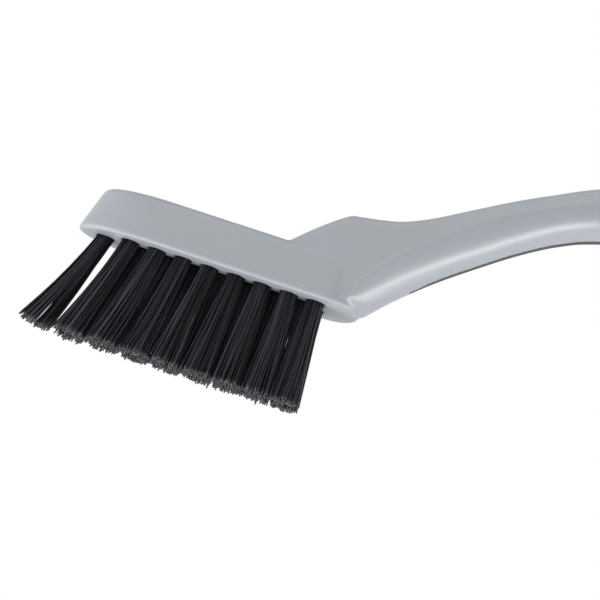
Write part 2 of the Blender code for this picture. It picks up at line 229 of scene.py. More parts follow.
class BristleSettings(bpy.types.PropertyGroup):
    """The filaments in the tufts."""

    count: IntProperty(name="Filaments", description="Filaments in a tuft", default=88)
    thickness: length("Thickness", "Diameter of a filament", 0.35 * MM)
    root_radius: length("Root radius", "Radius of a tuft at its hole", 1.88 * MM)
    tip_radius: length("Tip radius", "Radius of a tuft at its tips", 3.4 * MM)
    tip_depth: length("Tip depth", "The same across the brush", 2.4 * MM)
    nose_tip_radius: length("Nose tip radius", "Radius of the nose tuft at its tips", 3.8 * MM)
    nose_shift: length("Nose shift", "How far the nose tuft's tips move towards the handle", -0.2 * MM)
    nose_stray: length("Nose stray", "How far tips stray in the nose tuft", 1.0 * MM)
    sunk: length("Sunk", "How deep in its hole a filament starts", 3.0 * MM)
    ragged: length("Ragged", "Spread of the filaments' lengths", 0.9 * MM)
    wander: length("Wander", "How far a filament bows out of line", 0.35 * MM)
    scatter: length("Scatter", "How far a filament's tip strays", 0.7 * MM)
    clumping: share("Clumping", "How far tips draw together into locks", 0.3)
    nose_clumping: share("Nose clumping", "The same in the nose tuft", 0.38)
    proud: length("Proud", "How far a few filaments stand out beyond the rest", 0.7 * MM)
    proud_share: share("Proud share", "How many filaments do", 0.04)
    locks: IntProperty(name="Locks", description="Locks that a tuft divides into", default=7)
    sides: IntProperty(name="Sides", description="Sides of a filament", default=5)
    rings: IntProperty(name="Rings", description="Rings along a filament", default=8)
    # The pale tip is partly scuffing and partly painted light from below
    pale_tip_length: length("Worn length", "How far up from its cut end a filament is scuffed", 0.9 * MM)
    nylon: color("Nylon", "Colour of a filament", (0.008, 0.008, 0.011))
    cut_end: color("Cut end", "Colour of its cut end", (0.105, 0.1, 0.104))
    cut_roughness: share("Cut roughness", "Roughness of its cut end", 0.7)
    roughness: share("Roughness", "Roughness of a filament", 0.34)
    gloss: share("Gloss", "Strength of a filament's reflections", 0.25)


class AnchorSettings(bpy.types.PropertyGroup):
    """The flat metal anchors in the tuft holes."""

    steel: color("Steel", "Colour of an anchor", (0.62, 0.6, 0.56))
    roughness: share("Roughness", "Roughness of an anchor", 0.3)


class StageSettings(bpy.types.PropertyGroup):
    """Floor, light and camera."""

    floor_height: length("Floor", "Height of the floor", -0.3)
    floor_radius: length("Floor radius", "Half the floor's width", 3.0)
    floor_color: color("Floor colour", "Colour of the floor", (0.92, 0.92, 0.92))
    ambient: share("Ambient", "Strength of the light from all round", 0.46)
    top_power: watts("Top", "Power of the softbox above the front", 2.0)
    left_power: watts("Left", "Power of the softbox on the left", 1.65)
    right_power: watts("Right", "Power of the softbox on the right", 1.9)
    under_power: watts("Under", "Power of the lamp below the head", 0.6)
    strip_power: watts("Strip", "Power of the long lamp that draws the handle's highlight", 3.3)
    camera_place: FloatVectorProperty(name="Camera", description="Where the camera stands",
                                      subtype="TRANSLATION", default=(0.0530, -0.4838, -0.1269))
    camera_turn: FloatVectorProperty(name="Camera turn", description="How the camera is turned",
                                     subtype="EULER",
                                     default=[math.radians(a) for a in (104.252, -18.537, -0.626)])
    lens: FloatProperty(name="Lens", description="Focal length on a full frame", default=135.0, unit="CAMERA")


def moulding():
    """The moulding's settings."""
    return bpy.context.scene.brush_moulding


def tail_x():
    """Where the head's tail ends."""
    return moulding().head_length / 2


def tuft_names():
    """The tufts' nodes, in the order of their names."""
    return sorted(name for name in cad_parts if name.startswith("tuft_"))


def tuft_root(name):
    """Where a tuft's axis leaves the head."""
    low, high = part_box(name.replace("tuft", "anchor"))
    middle = (low + high) / 2
    return Vector((middle.x, middle.y, FACE_Z))


def tuft_tip(name):
    """The middle of a tuft's cut ends."""
    points = [v.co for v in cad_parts[name].data.vertices]
    low = min(p.z for p in points)
    ends = [p for p in points if p.z < low + TIP_SLICE]
    return sum(ends, Vector()) / len(ends)


def loft(bm, rings):
    """Skins a row of like rings and caps both ends."""
    rows = [[bm.verts.new(point) for point in ring] for ring in rings]
    count = len(rows[0])
    for a, b in zip(rows, rows[1:]):
        for i in range(count):
            j = (i + 1) % count
            bm.faces.new((a[i], a[j], b[j], b[i]))
    bm.faces.new(rows[0])
    bm.faces.new(list(reversed(rows[-1])))


def object_from(bm, name):
    """Turns a bmesh into an object with outward faces."""
    bmesh.ops.recalc_face_normals(bm, faces=bm.faces)
    mesh = bpy.data.meshes.new(name)
    bm.to_mesh(mesh)
    bm.free()
    item = bpy.data.objects.new(name, mesh)
    bpy.context.scene.collection.objects.link(item)
    return item


def apply_modifiers(item):
    """Makes an object's modifiers part of its mesh."""
    graph = bpy.context.evaluated_depsgraph_get()
    mesh = bpy.data.meshes.new_from_object(item.evaluated_get(graph))
    item.modifiers.clear()
    item.data = mesh


def combine(item, other, operation):
    """Cuts an object with another, or joins them, and drops the other."""
    modifier = item.modifiers.new(operation, "BOOLEAN")
    modifier.operation = operation
    modifier.solver = "EXACT"
    modifier.object = other
    apply_modifiers(item)
    bpy.data.objects.remove(other)


def dress(item, name, slot, materials, *nodes):
    """Names a finished piece, gives it its materials and sets it on the body in place of its nodes."""
    item.name = name
    item.data.name = name
    item.data.shade_smooth()
    # Clearing also forgets which faces are cut ends, so it is only done where there is something to clear
    if item.data.materials:
        item.data.materials.clear()
    for material in materials:
        item.data.materials.append(material)
    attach(item, BODY)
    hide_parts(*nodes)


# The shapes of the moulding and the strip


def smooth_value(values, position):
    """A value at a place between the stations, on a smooth curve through them."""
    last = len(values) - 1
    i = min(int(position), last - 1)
    t = position - i
    before = values[max(i - 1, 0)]
    start = values[i]
    end = values[i + 1]
    after = values[min(i + 2, last)]
    slope_in = (end - before) / 2
    slope_out = (after - start) / 2
    a = 2 * start - 2 * end + slope_in + slope_out
    b = 3 * end - 3 * start - 2 * slope_in - slope_out
    return ((a * t + b) * t + slope_in) * t + start


def station_at(position):
    """The lower point, the upper point, the half width and the ridge share at a place on the handle."""
    rows = [(*lower, *upper, narrower, ridge) for lower, upper, narrower, ridge in HANDLE_STATIONS]
    low_x, low_z, high_x, high_z, narrower, ridge = (smooth_value(column, position) for column in zip(*rows))
    low = Vector((tail_x() + low_x * MM, 0.0, FACE_Z + low_z * MM))
    high = Vector((tail_x() + high_x * MM, 0.0, high_z * MM))
    return low, high, moulding().head_width / 2 - narrower * MM, ridge


def half_section(half, ridge, height):
    """Half of a section, from the middle of the underside up to the middle of the top."""
    s = moulding()
    points = []
    for i in range(LOWER_STEPS + 1):
        angle = math.pi / 2 * i / LOWER_STEPS
        points.append((half * math.sin(angle), ridge * height * (1 - math.cos(angle))))
    edge = half - s.side_draft - s.top_corner
    for i in range(CORNER_STEPS + 1):
        angle = math.pi / 2 * i / CORNER_STEPS
        points.append((edge + s.top_corner * math.cos(angle), height - s.top_corner * (1 - math.sin(angle))))
    for i in range(CROWN_STEPS - 1, -1, -1):
        t = i / CROWN_STEPS
        points.append((t * edge, height + s.top_crown * (1 - t * t)))
    return points


def ring_points(low, high, half, ridge, size=1.0):
    """A whole section in space. A size under 1 draws it in towards its own middle."""
    up = (high - low).normalized()
    middle = (low + high) / 2
    right = half_section(half, ridge, (high - low).length)
    points = []
    for y, h in right + [(-y, h) for y, h in reversed(right[1:-1])]:
        point = middle + (low + up * h - middle) * size ** END_SQUASH
        point.y = y * size
        points.append(point)
    return points


def middle_at(position):
    """The middle of the section at a place on the handle."""
    low, high, _, _ = station_at(position)
    return (low + high) / 2


def end_direction():
    """The way the handle points over the last third of its last span."""
    return (middle_at(LAST_STATION) - middle_at(LAST_STATION - 1 / 3)).normalized()


def handle_end():
    """The tip of the handle, on its middle line."""
    return middle_at(LAST_STATION) + end_direction() * moulding().end_round


def hang_hole_x():
    """Where the middle of the hanging hole lies."""
    return handle_end().x - moulding().hang_hole_to_end


def handle_shape():
    """The handle as one loft, its first section inside the head and its end rounded off."""
    count = LAST_STATION * STEPS_PER_STATION
    rings = [ring_points(*station_at(LAST_STATION * i / count)) for i in range(count + 1)]
    low, high, half, ridge = station_at(LAST_STATION)
    for i in range(1, END_STEPS + 1):
        angle = END_SWEEP * i / END_STEPS
        shift = end_direction() * moulding().end_round * math.sin(angle)
        rings.append(ring_points(low + shift, high + shift, half, ridge, size=math.cos(angle)))
    bm = bmesh.new()
    loft(bm, rings)
    return object_from(bm, "handle_shape")


def head_outline(inset, nose_inset):
    """Points round the head in plan, with elliptic ends."""
    s = moulding()
    half = s.head_width / 2 - inset
    nose = s.nose_taper - nose_inset
    tail = s.tail_round - inset
    points = []
    for i in range(2 * OUTLINE_STEPS + 1):
        angle = math.pi / 2 + math.pi * i / (2 * OUTLINE_STEPS)
        points.append((-tail_x() + s.nose_taper + nose * math.cos(angle), half * math.sin(angle)))
    for i in range(2 * OUTLINE_STEPS + 1):
        angle = -math.pi / 2 + math.pi * i / (2 * OUTLINE_STEPS)
        points.append((tail_x() - s.tail_round + tail * math.cos(angle), half * math.sin(angle)))
    return points


def round_rim(bm, height, radius, segments):
    """Rounds the edges that lie in the level plane at a height."""
    edges = [e for e in bm.edges if all(abs(v.co.z - height) < SAME_POINT for v in e.verts)]
    bmesh.ops.bevel(bm, geom=edges, offset=radius, segments=segments, profile=0.5, affect="EDGES")


def head_shape():
    """The head: its outline drawn up to the back with a little draft, and both rims rounded."""
    s = moulding()
    bm = bmesh.new()
    outlines = ((FACE_Z, head_outline(0.0, 0.0)), (0.0, head_outline(s.wall_draft, s.nose_draft)))
    loft(bm, [[(x, y, z) for x, y in outline] for z, outline in outlines])
    bmesh.ops.recalc_face_normals(bm, faces=bm.faces)
    round_rim(bm, 0.0, s.back_radius, BACK_RIM_STEPS)
    round_rim(bm, FACE_Z, s.face_radius, FACE_RIM_STEPS)
    bmesh.ops.remove_doubles(bm, verts=bm.verts, dist=SAME_POINT)
    return object_from(bm, "head_shape")


def hole_shapes():
    """All round holes: one for each tuft and the hanging hole."""
    s = moulding()
    bm = bmesh.new()
    holes = [(s.hole_diameter, 2 * s.hole_depth, tuft_root(name)) for name in tuft_names()]
    holes.append((s.hang_hole, HANG_HOLE_CUT, Vector((hang_hole_x(), 0.0, handle_end().z))))
    for diameter, depth, center in holes:
        made = bmesh.ops.create_cone(bm, cap_ends=True, segments=HOLE_SIDES, radius1=diameter / 2,
                                     radius2=diameter / 2, depth=depth)
        bmesh.ops.translate(bm, verts=made["verts"], vec=center)
    return object_from(bm, "hole_shapes")


def position_at(x):
    """The place on the handle whose lower line is x along."""
    before = 0.0
    after = LAST_STATION
    for _ in range(HALVINGS):
        middle = (before + after) / 2
        if station_at(middle)[0].x < x:
            before = middle
        else:
            after = middle
    return before


def strip_half_width(x, start_x, stop_x):
    """Half the strip's width: a fine tip, a narrow neck, a flare into the grip and a round end."""
    s = bpy.context.scene.brush_strip
    flare = (x - tail_x() - s.flare_start) / (s.flare_end - s.flare_start)
    flare = min(max(flare, 0.0), 1.0)
    flare = flare * flare * (3 - 2 * flare)
    width = s.neck_width + (s.width - s.neck_width) * flare
    opening = min(s.tip_share + (1 - s.tip_share) * (x - start_x) / s.end_length, 1.0)
    closing = 1 - min((stop_x - x) / s.end_length, 1.0)
    return width * opening * math.sqrt(1 - s.end_fullness * closing * closing) / 2


def strip_shape(name, extra, below):
    """The grip strip, or what its recess takes away, grown by extra and reaching below the underside."""
    s = bpy.context.scene.brush_strip
    start_x = tail_x() + s.start
    stop_x = hang_hole_x() - moulding().hang_hole / 2 - s.stop
    rings = []
    for i in range(STRIP_STEPS + 1):
        t = i / STRIP_STEPS
        x = start_x + (stop_x - start_x) * t
        low, high, half, ridge = station_at(position_at(x + extra * (2 * t - 1)))
        up = (high - low).normalized()
        width = strip_half_width(x, start_x, stop_x) + extra
        row = []
        for k in range(-STRIP_COLUMNS, STRIP_COLUMNS + 1):
            y = width * k / STRIP_COLUMNS
            rise = ridge * (high - low).length * (1 - math.sqrt(1 - (y / half) ** 2))
            row.append(low + up * (rise - below) + Vector((0.0, y, 0.0)))
        for side in (1, -1):
            row.append(low + up * (s.depth + extra) + Vector((0.0, side * width, 0.0)))
        rings.append(row)
    bm = bmesh.new()
    loft(bm, rings)
    return object_from(bm, name)


def crease_weights(points, head, handle):
    """How much to soften at each point.

    It is most where both surfaces meet, and less towards the head's back and its tufted face.
    """
    s = moulding()
    weights = []
    for point in points:
        worst = max(tree.find_nearest(point)[3] for tree in (head, handle))
        depth = min(max(point.z / FACE_Z, 0.0), 1.0)
        near = max(0.0, 1 - worst / s.crease_reach)
        above_face = min(max((point.z - FACE_Z) / s.crease_stop, 0.0), 1.0)
        weights.append(near * (s.crease_top + (1 - s.crease_top) * depth) * above_face ** 2)
    return weights


def mark_painted_side_highlight(item):
    """Marks the points along the neck's side edge for a painted highlight line, fading away from the head."""
    s = moulding()
    stop = position_at(tail_x() + s.line_stop)
    line = []
    for i in range(LINE_STEPS + 1):
        low, high, half, ridge = station_at(LINE_START + (stop - LINE_START) * i / LINE_STEPS)
        point = low + (high - low) * ridge
        line += [(Vector((point.x, side * half, point.z)), 1 - i / LINE_STEPS) for side in (-1, 1)]
    tree = KDTree(len(line))
    for i, (point, _) in enumerate(line):
        tree.insert(point, i)
    tree.balance()
    values = []
    for vertex in item.data.vertices:
        _, i, distance = tree.find(vertex.co)
        near = max(0.0, 1 - distance / (s.line_width + LINE_SLACK))
        values.append(near * line[i][1] ** 0.5)
    item.data.attributes.new("painted_side_highlight", "FLOAT", "POINT").data.foreach_set("value", values)


def smooth_surface(item, passes, group=None):
    """Rounds an object's small edges."""
    modifier = item.modifiers.new("smooth", "SMOOTH")
    modifier.factor = 0.5
    modifier.iterations = passes
    if group:
        modifier.vertex_group = group
    apply_modifiers(item)


def remesh(item, step):
    """Gives an object an even surface."""
    modifier = item.modifiers.new("even", "REMESH")
    modifier.mode = "VOXEL"
    modifier.voxel_size = step
    apply_modifiers(item)


# Shader node groups, shared by the materials


def new_group(name, inputs, outputs):
    """A shader node group with named sockets, and its ends."""
    group = bpy.data.node_groups.new(name, "ShaderNodeTree")
    for socket, default in inputs.items():
        made = group.interface.new_socket(name=socket, in_out="INPUT", socket_type="NodeSocketFloat")
        made.default_value = default
    for socket in outputs:
        group.interface.new_socket(name=socket, in_out="OUTPUT", socket_type="NodeSocketFloat")
    return group, group.nodes.new("NodeGroupInput"), group.nodes.new("NodeGroupOutput")


def noise_node(tree, place, scale, detail, roughness=0.5):
    """A noise texture on a place, with a number or a socket as its scale."""
    node = tree.nodes.new("ShaderNodeTexNoise")
    tree.links.new(place, node.inputs["Vector"])
    if isinstance(scale, (int, float)):
        node.inputs["Scale"].default_value = scale
    else:
        tree.links.new(scale, node.inputs["Scale"])
    node.inputs["Detail"].default_value = detail
    node.inputs["Roughness"].default_value = roughness
    return node.outputs["Fac"]


def math_node(tree, operation, first, second):
    """A Math node on two numbers or sockets."""
    node = tree.nodes.new("ShaderNodeMath")
    node.operation = operation
    for socket, value in zip(node.inputs, (first, second)):
        if isinstance(value, (int, float)):
            socket.default_value = value
        else:
            tree.links.new(value, socket)
    return node.outputs["Value"]


def ramp_node(tree, value, low, high, start=0.0, stop=1.0):
    """A value's run from low to high, turned into start to stop."""
    node = tree.nodes.new("ShaderNodeMapRange")
    node.inputs["From Min"].default_value = low
    node.inputs["From Max"].default_value = high
    node.inputs["To Min"].default_value = start
    node.inputs["To Max"].default_value = stop
    tree.links.new(value, node.inputs["Value"])
    return node.outputs["Result"]


def make_grain_group():
    """Fine moulded or rubbed grain: its height, and a slow change of tone."""
    group, ends, out = new_group("fine_grain", {"Scale": 2500.0, "Drift": 60.0}, ("Height", "Tone"))
    place = group.nodes.new("ShaderNodeTexCoord").outputs["Object"]
    fine = noise_node(group, place, ends.outputs["Scale"], detail=3.0, roughness=0.6)
    slow = noise_node(group, place, ends.outputs["Drift"], detail=4.0)
    group.links.new(fine, out.inputs["Height"])
    group.links.new(slow, out.inputs["Tone"])
    return group


def make_wear_group():
    """Rubbed edges: a mask that is 1 on sharp convex edges, broken up by noise."""
    group, ends, out = new_group("rubbed_edges", {"From": 0.52, "To": 0.6, "Breakup": 260.0}, ("Mask",))
    place = group.nodes.new("ShaderNodeTexCoord").outputs["Object"]
    edge = group.nodes.new("ShaderNodeNewGeometry").outputs["Pointiness"]
    node = group.nodes.new("ShaderNodeMapRange")
    group.links.new(edge, node.inputs["Value"])
    group.links.new(ends.outputs["From"], node.inputs["From Min"])
    group.links.new(ends.outputs["To"], node.inputs["From Max"])
    broken = noise_node(group, place, ends.outputs["Breakup"], detail=4.0)
    patches = ramp_node(group, broken, low=0.25, high=0.6)
    mask = math_node(group, "MULTIPLY", node.outputs["Result"], patches)
    group.links.new(mask, out.inputs["Mask"])
    return group


def shared_group(name):
    """A node group, made when it is first asked for."""
    makers = {"fine_grain": make_grain_group, "rubbed_edges": make_wear_group}
    return bpy.data.node_groups.get(name) or makers[name]()


def group_node(tree, name, **values):
    """A shared group placed in a material with its own values."""
    node = tree.nodes.new("ShaderNodeGroup")
    node.node_tree = shared_group(name)
    for socket, value in values.items():
        node.inputs[socket].default_value = value
    return node


def mix_color(tree, factor, first, second):
    """Two colours, or sockets, mixed by a socket."""
    node = tree.nodes.new("ShaderNodeMix")
    node.data_type = "RGBA"
    tree.links.new(factor, node.inputs["Factor"])
    for socket, value in ((node.inputs[MIX_FIRST], first), (node.inputs[MIX_SECOND], second)):
        if isinstance(value, bpy.types.NodeSocket):
            tree.links.new(value, socket)
        else:
            socket.default_value = (*value, 1.0)
    return node.outputs[MIX_RESULT]


def new_material(name):
    """A material, its node tree and its Principled shader."""
    material = bpy.data.materials.new(name)
    material.use_nodes = True
    return material, material.node_tree, material.node_tree.nodes["Principled BSDF"]


def add_bump(tree, shader, height, strength, distance):
    """Bump on a shader, from a height."""
    bump = tree.nodes.new("ShaderNodeBump")
    bump.inputs["Strength"].default_value = strength
    bump.inputs["Distance"].default_value = distance
    tree.links.new(height, bump.inputs["Height"])
    tree.links.new(bump.outputs["Normal"], shader.inputs["Normal"])


def scaled(value, factor):
    """A colour made lighter or darker."""
    return tuple(min(channel * factor, 1.0) for channel in value)


def toned(tree, value, tint, darkest, lightest):
    """A colour that a value moves from darker to lighter."""
    return mix_color(tree, value, scaled(tint, darkest), scaled(tint, lightest))


def vary_roughness(tree, shader, height, middle, less, more, span=NOISE_SPAN):
    """Roughness that follows a height, from less than its middle value to more."""
    rough = ramp_node(tree, height, *span, start=middle - less, stop=middle + more)
    tree.links.new(rough, shader.inputs["Roughness"])


def moulded_material():
    """Satin grey plastic with a fine mould texture, slow changes of tone, faintly rubbed edges and a painted
    highlight line along the neck's side.
    """
    s = moulding()
    material, tree, shader = new_material("moulded_grey")
    grain = group_node(tree, "fine_grain", Scale=2600.0, Drift=45.0)
    wear = group_node(tree, "rubbed_edges", From=0.515, To=0.62, Breakup=300.0)
    tone = ramp_node(tree, grain.outputs["Tone"], *NOISE_SPAN)
    base = toned(tree, tone, s.grey, darkest=0.975, lightest=1.02)
    edges = math_node(tree, "MULTIPLY", wear.outputs["Mask"], s.edge_wear)
    # Painted highlight: a pale line along the neck's side ridge, mixed in with the real edge wear
    line = math_node(tree, "MULTIPLY", mesh_value(tree, "painted_side_highlight"), s.line_highlight)
    wear_and_painted_light = math_node(tree, "MAXIMUM", edges, line)
    tree.links.new(mix_color(tree, wear_and_painted_light, base, s.pale), shader.inputs["Base Color"])
    vary_roughness(tree, shader, grain.outputs["Height"], s.roughness, less=0.03, more=0.04)
    add_bump(tree, shader, grain.outputs["Height"], strength=0.12, distance=0.02 * MM)
    return material


def rubber_material():
    """Dark soft-touch rubber with a pebbled skin, paler where it is rubbed."""
    s = bpy.context.scene.brush_strip
    material, tree, shader = new_material("grip_rubber")
    grain = group_node(tree, "fine_grain", Scale=1500.0, Drift=90.0)
    wear = group_node(tree, "rubbed_edges", From=0.51, To=0.6, Breakup=500.0)
    tone = ramp_node(tree, grain.outputs["Tone"], *NOISE_SPAN)
    base = toned(tree, tone, s.rubber, darkest=0.85, lightest=1.15)
    rubbed = scaled(s.rubber, 1.9)
    tree.links.new(mix_color(tree, wear.outputs["Mask"], base, rubbed), shader.inputs["Base Color"])
    vary_roughness(tree, shader, grain.outputs["Height"], s.roughness, less=0.06, more=0.08)
    add_bump(tree, shader, grain.outputs["Height"], strength=0.35, distance=0.06 * MM)
    return material


def mesh_value(tree, name):
    """A number that the mesh carries, such as each filament's shade."""
    node = tree.nodes.new("ShaderNodeAttribute")
    node.attribute_type = "GEOMETRY"
    node.attribute_name = name
    return node.outputs["Fac"]


def nylon_material():
    """Black nylon filament, each a little unlike the next; rare lighter ones are partly painted highlight,
    and the paler tips are partly scuffing and partly painted light from below.
    """
    s = bpy.context.scene.brush_bristles
    material, tree, shader = new_material("black_nylon")
    grain = group_node(tree, "fine_grain", Scale=3000.0, Drift=700.0)
    tone = mesh_value(tree, "tone")
    # Rare lighter filaments: partly random tone, partly painted highlight for filaments that catch the light
    tone_and_painted_highlight = math_node(tree, "POWER", tone, LIGHT_RARITY)
    clouds = math_node(tree, "MULTIPLY", grain.outputs["Tone"], SHADE_GRAIN)
    shade = math_node(tree, "ADD", tone_and_painted_highlight, clouds)
    base = toned(tree, shade, s.nylon, darkest=0.4, lightest=7.0)
    # Paler tips: partly scuffing, partly painted light from below
    pale_tip = math_node(tree, "MULTIPLY", mesh_value(tree, "wear_and_painted_light"), PALE_TIP_STRENGTH)
    shader.inputs["Specular IOR Level"].default_value = s.gloss
    tree.links.new(mix_color(tree, pale_tip, base, s.cut_end), shader.inputs["Base Color"])
    # The lighter a filament, the smoother
    rough = ramp_node(tree, tone, 0.0, 1.0, start=s.roughness + 0.1, stop=s.roughness - 0.06)
    tree.links.new(rough, shader.inputs["Roughness"])
    add_bump(tree, shader, grain.outputs["Height"], strength=0.1, distance=0.01 * MM)
    return material


def cut_end_material():
    """The paler face where a filament was cut."""
    s = bpy.context.scene.brush_bristles
    material, tree, shader = new_material("cut_ends")
    grain = group_node(tree, "fine_grain", Scale=5000.0, Drift=900.0)
    spots = math_node(tree, "MULTIPLY", grain.outputs["Height"], CUT_END_GRAIN)
    shade = math_node(tree, "ADD", mesh_value(tree, "tone"), spots)
    base = toned(tree, shade, s.cut_end, darkest=0.6, lightest=1.3)
    tree.links.new(base, shader.inputs["Base Color"])
    shader.inputs["Roughness"].default_value = s.cut_roughness
    add_bump(tree, shader, grain.outputs["Height"], strength=0.3, distance=0.02 * MM)
    return material


def steel_material():
    """Stamped steel with a drawn grain and rubbed edges."""
    s = bpy.context.scene.brush_anchors
    material, tree, shader = new_material("anchor_steel")
    grain = group_node(tree, "fine_grain", Scale=1800.0, Drift=500.0)
    wear = group_node(tree, "rubbed_edges", From=0.5, To=0.6, Breakup=900.0)
    base = toned(tree, grain.outputs["Tone"], s.steel, darkest=0.75, lightest=1.1)
    rubbed = scaled(s.steel, 1.3)
    tree.links.new(mix_color(tree, wear.outputs["Mask"], base, rubbed), shader.inputs["Base Color"])
    shader.inputs["Metallic"].default_value = 1.0
    vary_roughness(tree, shader, grain.outputs["Height"], s.roughness, less=0.08, more=0.15, span=(0.2, 0.8))
    add_bump(tree, shader, grain.outputs["Height"], strength=0.2, distance=0.02 * MM)
    return material


# The bristles


def spiral_spots(count, random):
    """Even places in a unit disc, each moved a little."""
    k = np.arange(count) + 0.5
    radius = np.sqrt(k / count)
    # Each spot is turned by the golden angle from the one before
    angle = k * math.pi * (3 - math.sqrt(5))
    spots = np.stack([radius * np.cos(angle), radius * np.sin(angle)], axis=1)
    return spots + random.normal(0.0, SPOT_SCATTER / math.sqrt(count), spots.shape)


def lock_shifts(spots, locks, random):
    """The way from each spot to the middle of the lock that it falls in."""
    angle = np.arange(locks) * 2 * math.pi / locks + random.uniform(0, 2 * math.pi)
    centers = np.stack([LOCK_RING * np.cos(angle), LOCK_RING * np.sin(angle)], axis=1)
    centers += random.normal(0.0, LOCK_SCATTER, centers.shape)
    nearest = np.argmin(((spots[:, None] - centers[None]) ** 2).sum(axis=2), axis=1)
    return centers[nearest] - spots


def filament_lines(name, random):
    """Points along every filament of a tuft, from inside the hole to its cut end."""
    s = bpy.context.scene.brush_bristles
    nose = name == "tuft_nose"
    root = np.array(tuft_root(name))
    tip = np.array(tuft_tip(name))
    spots = spiral_spots(s.count, random)
    spread = spots + lock_shifts(spots, s.locks, random) * (s.nose_clumping if nose else s.clumping)
    starts = np.zeros((s.count, 3))
    starts[:, :2] = root[:2] + spots * s.root_radius
    starts[:, 2] = root[2]
    ends = np.zeros((s.count, 3))
    ends[:, :2] = tip[:2] + spread * (s.nose_tip_radius if nose else (s.tip_radius, s.tip_depth))
    ends[:, :2] += random.normal(0.0, (s.nose_stray if nose else s.scatter) / 2, (s.count, 2))
    ends[:, 2] = tip[2]
    if nose:
        ends[:, 0] += s.nose_shift
        reach = np.linalg.norm(tip - root)
        ends[:, 2] = root[2] - np.sqrt(reach ** 2 - ((ends - starts)[:, :2] ** 2).sum(axis=1))
    short = np.abs(random.normal(0.0, s.ragged / 2, s.count))
    chosen = random.uniform(0.0, 1.0, s.count) < s.proud_share
    short -= chosen * random.uniform(PROUD_LEAST, 1.0, s.count) * s.proud
    ends += (starts - ends) * (short / np.linalg.norm(starts - ends, axis=1))[:, None]
    bow = random.normal(0.0, s.wander / 2, (s.count, 3)) * SIDEWAYS
    lines = [starts + (0.0, 0.0, s.sunk)]
    pale_tip_start = 1 - s.pale_tip_length / np.linalg.norm(tip - root)
    for t in (*np.linspace(0.0, pale_tip_start, s.rings - 2), 1.0):
        reach = (1 - LATE_LEAN) * t + LATE_LEAN * t * t
        lines.append(starts + (ends - starts) * (reach, reach, t) + bow * math.sin(math.pi * t))
    return np.stack(lines, axis=1)


def filament_mesh(name, lines, random):
    """A mesh with a closed tube along each line, its cut ends marked for the second material."""
    s = bpy.context.scene.brush_bristles
    count, rings, _ = lines.shape
    along = lines[:, -1] - lines[:, 1]
    along /= np.linalg.norm(along, axis=1)[:, None]
    across = np.cross(along, (0.0, 1.0, 0.0))
    across /= np.linalg.norm(across, axis=1)[:, None]
    beside = np.cross(along, across)
    turn = 2 * math.pi * np.arange(s.sides) / s.sides
    around = across[:, None] * np.cos(turn)[None, :, None] + beside[:, None] * np.sin(turn)[None, :, None]
    thick = s.thickness / 2 * random.uniform(*THICKNESS_SPREAD, count)
    points = lines[:, :, None] + around[:, None] * thick[:, None, None, None]
    slant = random.uniform(0.0, STEEPEST_CUT, count) * thick
    lean = np.cos(turn[None] - random.uniform(0, 2 * math.pi, count)[:, None])
    points[:, -1] -= along[:, None] * (slant[:, None] * (1 + lean))[:, :, None]
    index = np.arange(count * rings * s.sides).reshape(count, rings, s.sides)
    beyond = np.roll(index, -1, axis=2)
    walls = np.stack([index[:, :-1], index[:, 1:], beyond[:, 1:], beyond[:, :-1]], axis=-1).reshape(-1, 4)
    faces = walls.tolist() + index[:, 0].tolist() + index[:, -1, ::-1].tolist()
    mesh = bpy.data.meshes.new(name)
    mesh.from_pydata(points.reshape(-1, 3).tolist(), [], faces)
    ends = np.zeros(len(faces), dtype=np.int32)
    ends[-count:] = 1
    mesh.polygons.foreach_set("material_index", ends)
    tone = mesh.attributes.new("tone", "FLOAT", "POINT")
    tone.data.foreach_set("value", np.repeat(random.uniform(0.0, 1.0, count), rings * s.sides))
    # How pale each tip is: partly scuffing, partly painted light from below
    wear_and_painted_light = np.zeros((count, rings, s.sides))
    wear_and_painted_light[:, -1] = random.uniform(*PALE_TIP_SPREAD, count)[:, None]
    mesh.attributes.new("wear_and_painted_light", "FLOAT", "POINT").data.foreach_set("value", wear_and_painted_light.ravel())
    return mesh


# The pieces, each with its operator


class BRUSH_OT_moulding(bpy.types.Operator):
    """Makes the grey moulding with softened edges and crease"""

    bl_idname = "brush.moulding"
    bl_label = "Moulding"

    def execute(self, context):
        s = moulding()
        head = head_shape()
        handle = handle_shape()
        trees = [BVHTree.FromObject(item, context.evaluated_depsgraph_get()) for item in (head, handle)]
        combine(head, handle, "UNION")
        combine(head, hole_shapes(), "DIFFERENCE")
        depth = context.scene.brush_strip.depth
        combine(head, strip_shape("recess", extra=0.0, below=2 * depth), "DIFFERENCE")
        remesh(head, s.surface_step)
        weights = crease_weights([v.co for v in head.data.vertices], *trees)
        group = head.vertex_groups.new(name="crease")
        for i, weight in enumerate(weights):
            if weight > 0:
                group.add([i], weight, "REPLACE")
        smooth_surface(head, s.crease_passes, "crease")
        smooth_surface(head, s.edge_passes)
        head.vertex_groups.clear()
        mark_painted_side_highlight(head)
        dress(head, "moulding", "body_grey", [moulded_material()], "brush_body")
        return {"FINISHED"}


class BRUSH_OT_grip(bpy.types.Operator):
    """Makes the dark grip strip"""

    bl_idname = "brush.grip"
    bl_label = "Grip strip"

    def execute(self, context):
        strip = strip_shape("strip", extra=context.scene.brush_strip.lip, below=0.0)
        dress(strip, "grip_inlay", "grip_dark", [rubber_material()], "grip_strip")
        return {"FINISHED"}


